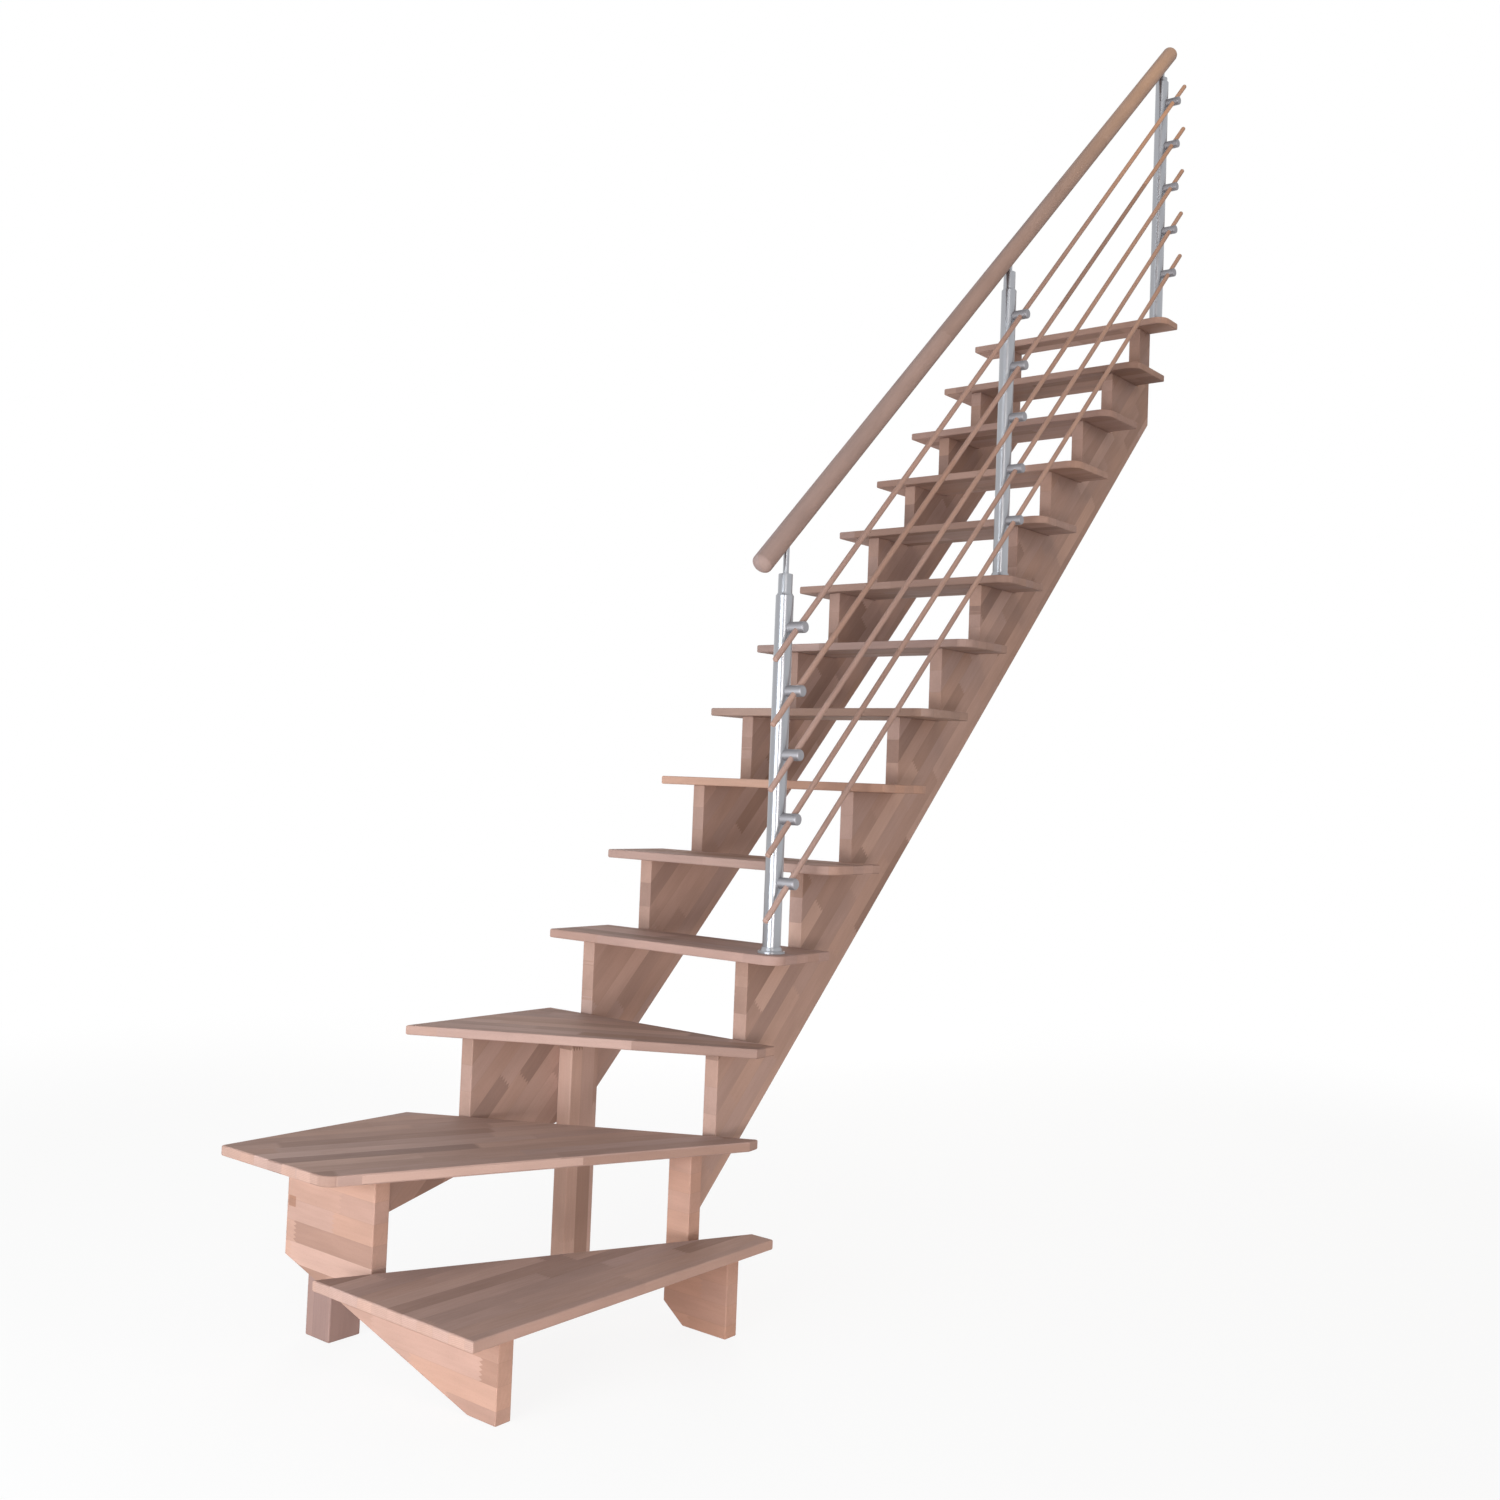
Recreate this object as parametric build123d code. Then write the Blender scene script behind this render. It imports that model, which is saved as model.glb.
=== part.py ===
from build123d import *
import os
from math import asin, cos, sin, sqrt

# Quarter-turn wooden staircase: saw-tooth strings, open risers, three winders and a rod railing.
# Origin at the centre of the corner post's foot. +Y runs up the straight flight, +X to the
# railing side, +Z up. Sizes in millimetres.

# Flight
tread_count = 14
first_straight = 4            # the treads before this one are winders
rise = 200.0
going = 201.0
tread_length = 720.0
tread_thickness = 22.0
tread_overlap = 13.0          # how far a tread reaches back under the next nosing
top_tread_depth = 110.0
nosing_overhang = 27.0        # nosing to the string's upright face below it
nosing_corner_radius = 40.0   # rounded corner at one end of a nosing, from tread 2 up but for 3
tread_edge_chamfer = 2.0

# Strings and the posts under the turn
string_thickness = 38.0
string_waist = 140.0          # inner corner of the saw-tooth to the lower edge, square to it
west_inset = 94.0             # tread ends to the outer face of the west string
east_inset = 97.0
corner_post_side = 80.0
corner_post_setback = 4.0     # the west string stands this proud of the corner post
west_post_width = 45.0
west_post_depth = 94.0
string_joint = 47.0           # west post's back face to the joint between the two west strings

# The turn, measured in plan from the corner post's axis
straight_start = 717.0        # to the nosing of the first straight tread
inner_string_back = 595.0     # to the face that the east string butts against
south_overhang = 120.0        # south string's outer face to the ends of treads 1 and 2
nose_1_past = 69.0            # nosing of tread 1 beyond the straight treads' ends
back_1_past = 10.0            # and the inner end of its back edge
back_1_outer_x = 189.0
inner_end_1_y = 659.0
nose_2_outer_x = 212.0
nose_2_inner_y = 648.0
tip_2 = 4.0                   # tread 2's tip stands this far past the straight treads' ends
nose_3_outer_y = 268.0
nose_3_inner_y = 666.0
overhang_1_south = 63.0       # nosing of tread 1 to the upright face of each string
overhang_1_inner = 42.0
overhang_2 = 59.0
overhang_3_east = 47.0
south_string_west_x = -71.0
south_string_end = 210.0      # height of the south string's plumb west end
south_foot_length = 77.0
inner_string_reach = 151.0    # straight treads' ends back to the inner string's far end
inner_foot_length = 121.0
inner_toe_height = 42.0
lower_string_front = 177.0    # height of the west lower string at the corner post
lower_string_back = 222.0     # and at its joint with the main string

# Railing
rail_treads = (4, 9, 14)
rail_inset = 58.0             # tread ends to the posts' axis
rail_setback = 62.0           # nosing to the posts' axis
flange_diameter = 64.0
flange_thickness = 5.0
hub_width = 6.0               # how far the flange's hub stands out round the tube, at its foot
hub_lip = 1.5                 # and at its top
hub_height = 9.0
tube_diameter = 42.4
tube_wall = 2.0
tube_gap = 33.0               # tube to the handrail's underside, where the handrail is lowest
sleeve_diameter = 33.7
plug_height = 60.0            # sleeve's foot inside the tube
shoulder_height = 6.0         # cone from the tube's width to the sleeve's
sleeve_shares = (0.52, 0.96, 0.94)   # how much of its room under the handrail each sleeve fills
pin_diameter = 14.0
handrail_diameter = 50.0
handrail_dome = 13.0          # height of the rounded ends
handrail_height_low = 976.0   # handrail axis above the first rail tread
handrail_height_high = 896.0  # and above the last one
handrail_tail = 98.0          # beyond the first and last post, measured level
handrail_head = 65.0
pin_reach = 6.0               # pin end above the handrail's axis
clamp_diameter = 27.0
clamp_reach = 65.0            # post axis to the clamp's outer end
rod_offset = 43.0             # post axis to the rods' plane
rod_count = 5
rod_diameter = 14.0
rod_low = 162.0               # lowest rod above the tread
rod_high = 76.0               # highest rod below the tube's top
rod_tail = 84.0               # beyond the first and last post, measured level
rod_head = 88.0
fit_clearance = 0.1

# Derived places
west_face_x = -(corner_post_side / 2 + corner_post_setback)
west_end_x = west_face_x - west_inset
east_end_x = west_end_x + tread_length
east_face_x = east_end_x - east_inset - string_thickness
post_front_y = -corner_post_side / 2
south_end_y = post_front_y - string_thickness - south_overhang
south_middle_y = post_front_y - string_thickness / 2
inner_middle_y = inner_string_back - string_thickness / 2
pitch = rise / going
west_middle_x = west_face_x + string_thickness / 2
east_middle_x = east_face_x + string_thickness / 2
nose_1_x = east_end_x + nose_1_past
back_1_inner_x = east_end_x + back_1_past
inner_string_west_x = east_end_x - inner_string_reach


def tread_top(number):
    return rise * number


def seat(number):
    return rise * number - tread_thickness


def nosing_y(number):
    return straight_start + going * (number - first_straight)


def upright_y(number):
    return nosing_y(number) + nosing_overhang


def line_y(start, end, x):
    return start[1] + (end[1] - start[1]) * (x - start[0]) / (end[0] - start[0])


def line_x(start, end, y):
    return start[0] + (end[0] - start[0]) * (y - start[1]) / (end[1] - start[1])


# Winder nosings as lines in plan, from the outer to the inner end
nose_2 = ((nose_2_outer_x, south_end_y), (east_end_x + tip_2, nose_2_inner_y))
nose_3 = ((west_end_x, nose_3_outer_y), (east_end_x, nose_3_inner_y))
nose_3_slope = (nose_3[1][1] - nose_3[0][1]) / (nose_3[1][0] - nose_3[0][0])
back_2_shift = tread_overlap * sqrt(1 + nose_3_slope ** 2)
third_back_y = straight_start + tread_overlap
top_end_y = nosing_y(tread_count) + top_tread_depth
joint_y = third_back_y - string_joint
upright_3_west = line_y(*nose_3, west_middle_x) + nosing_overhang
upright_3_east = line_y(*nose_3, east_middle_x) + overhang_3_east


def lower_edge(y):
    """Height of the main strings' lower edge, parallel to the pitch."""
    corner = seat(first_straight - 1) + (y - upright_y(first_straight)) * pitch
    return corner - string_waist * sqrt(1 + pitch ** 2)


def tread(board, number):
    """A flat board with its edges broken all round, cut from its plan, at its place in the flight."""
    solid = extrude(board, amount=tread_thickness)
    faces = solid.faces().sort_by(Axis.Z)
    solid = chamfer(faces[0].edges() + faces[-1].edges(), tread_edge_chamfer)
    return Pos(0, 0, seat(number)) * solid


def winder_treads():
    first = (
        (back_1_outer_x, south_end_y),
        (nose_1_x, south_end_y),
        (nose_1_x, inner_end_1_y),
        (back_1_inner_x, inner_end_1_y),
    )
    second = (
        (west_end_x, south_end_y),
        nose_2[0],
        nose_2[1],
        (east_end_x, line_y(*nose_3, east_end_x) + back_2_shift),
        (west_end_x, line_y(*nose_3, west_end_x) + back_2_shift),
    )
    third = (nose_3[0], nose_3[1], (east_end_x, third_back_y), (west_end_x, third_back_y))
    plans = [Polygon(*outline, align=None) for outline in (first, second, third)]
    nosing_corner = plans[1].vertices().sort_by_distance(nose_2[0])[0]
    plans[1] = fillet(nosing_corner, nosing_corner_radius)
    return {f"tread_{number:02d}": tread(plan, number) for number, plan in enumerate(plans, 1)}


def straight_treads():
    boards = {}
    for number in range(first_straight, tread_count + 1):
        depth = top_tread_depth if number == tread_count else going + tread_overlap
        plan = Rectangle(tread_length, depth, align=(Align.MIN, Align.MIN))
        plan = Pos(west_end_x, nosing_y(number)) * plan
        nosing_corner = plan.vertices().sort_by(Axis.Y)[:2].sort_by(Axis.X)[-1]
        plan = fillet(nosing_corner, nosing_corner_radius)
        boards[f"tread_{number:02d}"] = tread(plan, number)
    return boards


def lengthwise_string(outline, x):
    """A string that runs along the straight flight: outline in Y and Z, thickness towards +X."""
    board = Plane.YZ.offset(x) * Polygon(*outline, align=None)
    return extrude(board, amount=string_thickness, dir=(1, 0, 0))


def crosswise_string(outline, back_y):
    """A string that runs across the turn: outline in X and Z, thickness towards -Y."""
    plane = Plane(origin=(0, back_y, 0), x_dir=(1, 0, 0), z_dir=(0, -1, 0))
    board = plane * Polygon(*outline, align=None)
    return extrude(board, amount=string_thickness, dir=(0, -1, 0))


def saw_teeth():
    """Steps of a main string from the first straight tread's upright face to its top end."""
    points = []
    for number in range(first_straight, tread_count + 1):
        points.append((upright_y(number), seat(number - 1)))
        points.append((upright_y(number), seat(number)))
    points.append((top_end_y, seat(tread_count)))
    points.append((top_end_y, lower_edge(top_end_y)))
    return points


def main_strings():
    west = [(joint_y, lower_edge(joint_y)), (joint_y, seat(3))] + saw_teeth()
    east = [
        (inner_string_back, lower_edge(inner_string_back)),
        (inner_string_back, seat(2)),
        (upright_3_east, seat(2)),
        (upright_3_east, seat(3)),
    ] + saw_teeth()
    return {
        "west_main_string": lengthwise_string(west, west_face_x),
        "east_main_string": lengthwise_string(east, east_face_x),
    }


def turn_strings():
    post_back_y = corner_post_side / 2
    west_lower = (
        (post_back_y, seat(2) - lower_string_front),
        (joint_y, seat(3) - lower_string_back),
        (joint_y, seat(3)),
        (upright_3_west, seat(3)),
        (upright_3_west, seat(2)),
        (post_back_y, seat(2)),
    )
    south_2 = line_x(*nose_2, south_middle_y) - overhang_2
    south_1 = nose_1_x - overhang_1_south
    south = (
        (south_string_west_x, seat(2) - south_string_end),
        (south_1 - south_foot_length, 0),
        (south_1, 0),
        (south_1, seat(1)),
        (south_2, seat(1)),
        (south_2, seat(2)),
        (south_string_west_x, seat(2)),
    )
    inner_2 = line_x(*nose_2, inner_middle_y) - overhang_2
    inner_1 = nose_1_x - overhang_1_inner
    inner = (
        (inner_string_west_x, inner_toe_height),
        (inner_1 - inner_foot_length, 0),
        (inner_1, 0),
        (inner_1, seat(1)),
        (inner_2, seat(1)),
        (inner_2, seat(2)),
        (inner_string_west_x, seat(2)),
    )
    return {
        "west_lower_string": lengthwise_string(west_lower, west_face_x),
        "south_string": crosswise_string(south, post_front_y),
        "inner_string": crosswise_string(inner, inner_string_back),
    }


def turn_posts():
    standing = (Align.CENTER, Align.CENTER, Align.MIN)
    corner = Box(corner_post_side, corner_post_side, seat(2), align=standing)
    lapped = Box(west_post_width, west_post_depth, seat(3), align=(Align.MIN, Align.MAX, Align.MIN))
    inner_face_x = west_face_x + string_thickness
    return {
        "corner_post": corner,
        "west_post": Pos(inner_face_x, third_back_y, 0) * lapped,
    }


# Railing places
rail_x = east_end_x - rail_inset
rod_x = rail_x + rod_offset
tube_inner = tube_diameter / 2 - tube_wall
hub_top = flange_thickness + hub_height


def rail_y(index):
    return nosing_y(rail_treads[index]) + rail_setback


def rail_z(index):
    return tread_top(rail_treads[index])


last_rail = len(rail_treads) - 1
handrail_low_z = rail_z(0) + handrail_height_low
handrail_high_z = rail_z(last_rail) + handrail_height_high
handrail_pitch = (handrail_high_z - handrail_low_z) / (rail_y(last_rail) - rail_y(0))


def handrail_z(y):
    return handrail_low_z + (y - rail_y(0)) * handrail_pitch


def underside(index):
    """Height of the handrail's underside above a post's tread."""
    drop = handrail_diameter / 2 * sqrt(1 + handrail_pitch ** 2)
    return handrail_z(rail_y(index)) - drop - rail_z(index)


tube_top = min(underside(index) for index in range(len(rail_treads))) - tube_gap


def sleeve_top(index):
    """The sleeve stays clear of the sloping handrail on its downhill side."""
    room = underside(index) - tube_top - sleeve_diameter / 2 * handrail_pitch
    return tube_top + sleeve_shares[index] * room


def turned(profile):
    """A round piece from its half section, given as radius and height."""
    return revolve(Plane.XZ * Polygon(*profile, align=None), axis=Axis.Z)


def sloping_plane(x, y, z, slope):
    """Plane square to a bar that rises along the flight."""
    return Plane(origin=(x, y, z), x_dir=(1, 0, 0), z_dir=(0, 1, slope))


def domed_bar(radius, length, dome):
    """A round bar whose ends are caps of a sphere."""
    ball = (radius ** 2 + dome ** 2) / (2 * dome)
    half_angle = asin(radius / ball) / 2
    mid_radius = ball * sin(half_angle)
    mid_height = ball * (1 - cos(half_angle))
    section = make_face([
        ThreePointArc((0, 0), (mid_radius, mid_height), (radius, dome)),
        Line((radius, dome), (radius, length - dome)),
        ThreePointArc((radius, length - dome), (mid_radius, length - mid_height), (0, length)),
        Line((0, length), (0, 0)),
    ])
    return revolve(Plane.XZ * section, axis=Axis.Z)


def rail_base():
    """Floor flange with a cone-shaped hub that the tube stands on."""
    flange = flange_diameter / 2
    return turned((
        (0, 0),
        (flange, 0),
        (flange, flange_thickness),
        (tube_diameter / 2 + hub_width, flange_thickness),
        (tube_diameter / 2 + hub_lip, hub_top),
        (0, hub_top),
    ))


def rail_tube():
    return turned((
        (tube_inner, hub_top),
        (tube_diameter / 2, hub_top),
        (tube_diameter / 2, tube_top),
        (tube_inner, tube_top),
    ))


def rail_sleeve(index):
    """Top of a post: a plug in the tube, a shoulder on its rim and a thinner sleeve above."""
    plug = tube_inner - fit_clearance
    outer = sleeve_diameter / 2
    return turned((
        (0, tube_top - plug_height),
        (plug, tube_top - plug_height),
        (plug, tube_top),
        (tube_diameter / 2, tube_top),
        (outer, tube_top + shoulder_height),
        (outer, sleeve_top(index)),
        (0, sleeve_top(index)),
    ))


def rail_pin(index):
    foot = sleeve_top(index)
    end = handrail_z(rail_y(index)) - rail_z(index) + pin_reach
    return turned(((0, foot), (pin_diameter / 2, foot), (pin_diameter / 2, end), (0, end)))


def rail_posts():
    """The three posts: each tube is a piece of its own, and the small fittings go by kind."""
    posts = range(len(rail_treads))
    places = [Pos(rail_x, rail_y(index), rail_z(index)) for index in posts]
    pieces = {f"rail_tube_{index + 1}": places[index] * rail_tube() for index in posts}
    pieces["rail_bases"] = Compound(children=[places[index] * rail_base() for index in posts])
    pieces["rail_sleeves"] = Compound(children=[places[index] * rail_sleeve(index) for index in posts])
    pieces["rail_pins"] = Compound(children=[places[index] * rail_pin(index) for index in posts])
    return pieces


def rod_height(number):
    """Rods are spread evenly over the tubes."""
    spacing = (tube_top - rod_high - rod_low) / (rod_count - 1)
    return rod_low + spacing * number


def rod_bar(number, diameter, tail, head):
    """A rod along the pitch through all the posts, or the hole that it runs through."""
    start_y = rail_y(0) - tail
    start_z = rail_z(0) + rod_height(number) - tail * pitch
    length = (rail_y(last_rail) - rail_y(0) + tail + head) * sqrt(1 + pitch ** 2)
    bar = Cylinder(diameter / 2, length, align=(Align.CENTER, Align.CENTER, Align.MIN))
    return sloping_plane(rod_x, start_y, start_z, pitch) * bar


def rail_rods():
    return {
        f"rail_rod_{number + 1}": rod_bar(number, rod_diameter, rod_tail, rod_head)
        for number in range(rod_count)
    }


def rod_clamps(index):
    """The clamps of one post: studs that fit the tube at one end and hold a rod near the other."""
    low = (Align.CENTER, Align.CENTER, Align.MIN)
    tube_space = Cylinder(tube_diameter / 2 + fit_clearance, tube_top, align=low)
    tube_space = Pos(rail_x, rail_y(index), rail_z(index)) * tube_space
    clamps = []
    for number in range(rod_count):
        centre = (rail_x, rail_y(index), rail_z(index) + rod_height(number))
        stud = Plane(origin=centre, x_dir=(0, 1, 0), z_dir=(1, 0, 0))
        stud = stud * Cylinder(clamp_diameter / 2, clamp_reach, align=low)
        hole = rod_bar(number, rod_diameter + 2 * fit_clearance, rod_tail, rod_head)
        clamps.append((stud - tube_space - hole).solid())
    return Compound(children=clamps)


def handrail():
    """Round rail with domed ends and a blind hole for each post's pin."""
    start_y = rail_y(0) - handrail_tail
    level = rail_y(last_rail) - rail_y(0) + handrail_tail + handrail_head
    length = level * sqrt(1 + handrail_pitch ** 2)
    rail = sloping_plane(rail_x, start_y, handrail_z(start_y), handrail_pitch)
    rail = rail * domed_bar(handrail_diameter / 2, length, handrail_dome)
    for index in range(len(rail_treads)):
        top = handrail_z(rail_y(index)) + pin_reach + fit_clearance
        hole = Cylinder(
            pin_diameter / 2 + fit_clearance,
            handrail_diameter,
            align=(Align.CENTER, Align.CENTER, Align.MAX),
        )
        rail = rail - Pos(rail_x, rail_y(index), top) * hole
    return rail


def staircase():
    pieces = {}
    pieces.update(winder_treads())
    pieces.update(straight_treads())
    pieces.update(main_strings())
    pieces.update(turn_strings())
    pieces.update(turn_posts())
    pieces.update(rail_posts())
    for index in range(len(rail_treads)):
        pieces[f"rod_clamps_{index + 1}"] = rod_clamps(index)
    pieces.update(rail_rods())
    pieces["handrail"] = handrail()
    return pieces


os.makedirs("parts", exist_ok=True)
for name, piece in staircase().items():
    export_step(piece, f"parts/{name}.step")
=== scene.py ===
from math import cos, pi, radians, sin

import bmesh
import bpy
from mathutils import Euler, Matrix, Vector


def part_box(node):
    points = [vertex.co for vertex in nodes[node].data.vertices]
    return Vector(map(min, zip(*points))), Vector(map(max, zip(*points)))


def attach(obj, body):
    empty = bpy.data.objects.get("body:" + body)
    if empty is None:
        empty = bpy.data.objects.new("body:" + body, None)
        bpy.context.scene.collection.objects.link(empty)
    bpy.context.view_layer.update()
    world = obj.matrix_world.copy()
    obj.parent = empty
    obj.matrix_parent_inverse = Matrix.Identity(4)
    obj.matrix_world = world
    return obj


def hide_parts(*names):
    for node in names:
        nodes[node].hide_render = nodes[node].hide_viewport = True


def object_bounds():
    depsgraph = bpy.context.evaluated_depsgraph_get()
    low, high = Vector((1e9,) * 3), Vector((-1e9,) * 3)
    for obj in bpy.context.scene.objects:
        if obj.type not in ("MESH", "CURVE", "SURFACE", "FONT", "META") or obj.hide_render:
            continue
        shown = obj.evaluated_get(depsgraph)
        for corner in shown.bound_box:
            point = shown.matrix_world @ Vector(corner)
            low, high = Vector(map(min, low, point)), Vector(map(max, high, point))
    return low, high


# Wooden quarter-turn staircase: boards of edge-glued beech, and a railing of steel posts,
# round rods and a round handrail. Places and main sizes come from the frame.

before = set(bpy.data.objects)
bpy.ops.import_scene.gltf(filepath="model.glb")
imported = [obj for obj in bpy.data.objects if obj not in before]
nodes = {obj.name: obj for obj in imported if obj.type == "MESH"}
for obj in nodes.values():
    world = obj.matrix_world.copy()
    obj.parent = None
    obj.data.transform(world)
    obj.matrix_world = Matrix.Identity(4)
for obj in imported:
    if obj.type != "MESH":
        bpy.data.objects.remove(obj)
cad_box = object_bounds()
scene = bpy.context.scene

# Sizes, in metres
BOARD_ARRIS = 0.0022          # softened edge of a board
POST_ARRIS = 0.0035
ARRIS_STEPS = 3
STAVE = 0.043                 # width of one glued stave
TREAD_STAVE_LENGTH = 0.46
STRING_STAVE_LENGTH = 0.32
HANDRAIL_DOME = 0.013         # height of the handrail's rounded ends
ROD_END = 0.003               # rounding of the rods' cut ends
CLAMP_END = 0.0045            # rounding of the clamps' outer ends
CLAMP_START = 0.016           # post axis to the clamp's foot, inside the tube's skin
TUBE_RADIUS = 0.0212
FLANGE_RADIUS = 0.032
FLANGE_THICKNESS = 0.005
FLANGE_EDGE = 0.0016
HUB_HEIGHT = 0.009
HUB_FOOT = TUBE_RADIUS + 0.006
HUB_TOP = TUBE_RADIUS + 0.0015
TUBE_RIM = 0.0008
SLEEVE_RADIUS = 0.01685
SLEEVE_EDGE = 0.0018
SHOULDER = 0.006              # height of the cone from the tube's width to the sleeve's
PIN_RADIUS = 0.007

# Small curves of the turned steel, as steps out and up from a corner
HUB_HOLLOW = ((0.0012, 0.0), (-0.0006, 0.0009), (-0.0024, 0.0034))
HUB_LIP = ((0.0006, -0.0012), (-0.0003, 0.0))
SHOULDER_FOOT = ((-0.0006, 0.0), (-0.0014, 0.0006))
SHOULDER_HEAD = ((0.0004, -0.0012), (0.0, 0.0))
ARC_SHARE = 0.3               # how far in a quarter round's middle lies, as a share of its radius

# Angles that part one face from the next
FLAT_ANGLE = radians(1)
CORNER_ANGLE = radians(30)
RIM_ANGLE = radians(40)
SAME_POINT = 1e-5             # distance under which two corners are one

# Pieces that repeat
TREADS = range(1, 15)
POSTS = (1, 2, 3)
RODS = (1, 2, 3, 4, 5)

# Directions of the flight, read from the frame
going, rise = (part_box("tread_05")[0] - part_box("tread_04")[0]).yz
UP_THE_PITCH = Vector((0, going, rise)).normalized()
ACROSS_THE_PITCH = Vector((0, -rise, going)).normalized()
EAST = Vector((1, 0, 0))
NORTH = Vector((0, 1, 0))
UP = Vector((0, 0, 1))

# Wood tones of single staves, as linear colours
BEECH_TONES = (
    (0.00, (0.272, 0.172, 0.140, 1)),
    (0.17, (0.318, 0.205, 0.171, 1)),
    (0.30, (0.388, 0.256, 0.217, 1)),
    (0.76, (0.424, 0.284, 0.243, 1)),
    (1.00, (0.525, 0.359, 0.309, 1)),
)


# Node helpers

NUMBER_RESULTS = ("DOT_PRODUCT", "LENGTH", "DISTANCE")    # vector sums that give a number


def feed(tree, target, value):
    """Links a socket, or sets a plain value."""
    if isinstance(value, bpy.types.NodeSocket):
        tree.links.new(value, target)
    elif value is not None:
        target.default_value = value


def calc(tree, operation, first, second=None, third=None):
    """A sum on one to three numbers."""
    made = tree.nodes.new("ShaderNodeMath")
    made.operation = operation
    for target, value in zip(made.inputs, (first, second, third)):
        feed(tree, target, value)
    return made.outputs[0]


def product(tree, first, *others):
    for other in others:
        first = calc(tree, "MULTIPLY", first, other)
    return first


def vector_calc(tree, operation, first, second=None):
    """A sum on vectors, which gives a vector or a number."""
    made = tree.nodes.new("ShaderNodeVectorMath")
    made.operation = operation
    for target, value in zip(made.inputs, (first, second)):
        feed(tree, target, value)
    return made.outputs["Value" if operation in NUMBER_RESULTS else "Vector"]


def joined(tree, x, y, z):
    made = tree.nodes.new("ShaderNodeCombineXYZ")
    for target, value in zip(made.inputs, (x, y, z)):
        feed(tree, target, value)
    return made.outputs[0]


def blended(tree, factor, first, second, mode="MIX"):
    """One colour laid over another."""
    made = tree.nodes.new("ShaderNodeMix")
    made.data_type = "RGBA"
    made.blend_type = mode
    feed(tree, made.inputs["Factor"], factor)
    feed(tree, made.inputs["A"], first)
    feed(tree, made.inputs["B"], second)
    return made.outputs["Result"]


def ramped(tree, value, low, high, to_low=0.0, to_high=1.0):
    """A smooth step from one value to another."""
    made = tree.nodes.new("ShaderNodeMapRange")
    made.interpolation_type = "SMOOTHSTEP"
    for target, number in zip(made.inputs[1:5], (low, high, to_low, to_high)):
        target.default_value = number
    feed(tree, made.inputs["Value"], value)
    return made.outputs[0]


def noise(tree, place, detail=2.0, roughness=0.5, scale=1.0):
    made = tree.nodes.new("ShaderNodeTexNoise")
    made.inputs["Scale"].default_value = scale
    made.inputs["Detail"].default_value = detail
    made.inputs["Roughness"].default_value = roughness
    feed(tree, made.inputs["Vector"], place)
    return made.outputs["Fac"]


def random_value(tree, x, y, z):
    """A random value, and three more as a colour, for each whole-number place."""
    made = tree.nodes.new("ShaderNodeTexWhiteNoise")
    made.noise_dimensions = "3D"
    feed(tree, made.inputs["Vector"], joined(tree, x, y, z))
    return made.outputs["Value"], made.outputs["Color"]


def mixed_shaders(tree, factor, first, second):
    made = tree.nodes.new("ShaderNodeMixShader")
    for target, value in zip(made.inputs, (factor, first, second)):
        feed(tree, target, value)
    return made.outputs[0]


def seen_directly(tree):
    """One for what the camera sees, straight or in a mirror or through glass."""
    path = tree.nodes.new("ShaderNodeLightPath").outputs
    seen = calc(tree, "MAXIMUM", path["Is Camera Ray"], path["Is Glossy Ray"])
    return calc(tree, "MAXIMUM", seen, path["Is Transmission Ray"])


def group_inputs(tree, rows):
    """Names a tree's inputs, with their usual values, and gives their sockets."""
    for name, kind, value in rows:
        socket = tree.interface.new_socket(name, in_out="INPUT", socket_type=kind)
        if value is not None:
            socket.default_value = value
    return tree.nodes.new("NodeGroupInput").outputs


# Edge-glued beech: staves side by side, finger-jointed end to end, each with its own tone

FINGER_PITCH = 0.0045
FINGER_REACH = 2.2            # finger length as a multiple of its pitch
RING_PITCH = 0.0032           # growth rings on the end grain
END_GRAIN_CONTRAST = 0.35     # how much of the staves' difference shows on sawn ends
FIRST_GLUE_LINE = 0.37        # place of the glue lines, in staves
STAGGER = 7.31                # how far the joints of one stave are moved, in stave lengths
GRAIN_SHIFT = 3.0             # how far the grain of one stave is moved along it
GLUE_LINE = 0.0009
HEART_DEPTH = 0.06            # how deep behind the face a stave's heart may lie
END_FACING = (0.8, 0.95)      # how squarely a face looks along the stave, side to sawn end

# Marks in the wood: how many a metre along and across, and the part of the noise that shows
FIBRES, FIBRE_SPAN = (13.0, 150.0), (0.28, 0.72)
FLECKS, FLECK_SPAN = (170.0, 1000.0), (0.56, 0.68)
CLOUDS, CLOUD_SPAN = (5.0, 18.0), (0.25, 0.75)

# How dark and how light each mark makes the wood; the lighter sawn ends are painted light
FIBRE_SHADE = (0.978, 1.02)
CLOUD_SHADE = (0.94, 1.06)
RING_SHADE = (0.93, 1.07)
FLECK_SHADE = 0.93
GLUE_SHADE = 0.9
# Painted light: sawn ends are drawn lighter, like the lit south ends of the treads.
END_GRAIN_PAINTED_LIGHT = 1.03
COOL_STAVE = (0.97, 0.99, 1.02, 1)
WARM_STAVE = (1.03, 1.0, 0.96, 1)

# Oiled surface
OIL_ROUGHNESS = (0.7, 0.58)   # between the fibres and on them
OIL_SPAN = (0.3, 0.7)
OIL_SPECULAR = 0.14
GLUE_RELIEF = 0.5             # depth of a glue line beside that of the fibres
RELIEF = 0.0002
RELIEF_STRENGTH = 0.1


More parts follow.
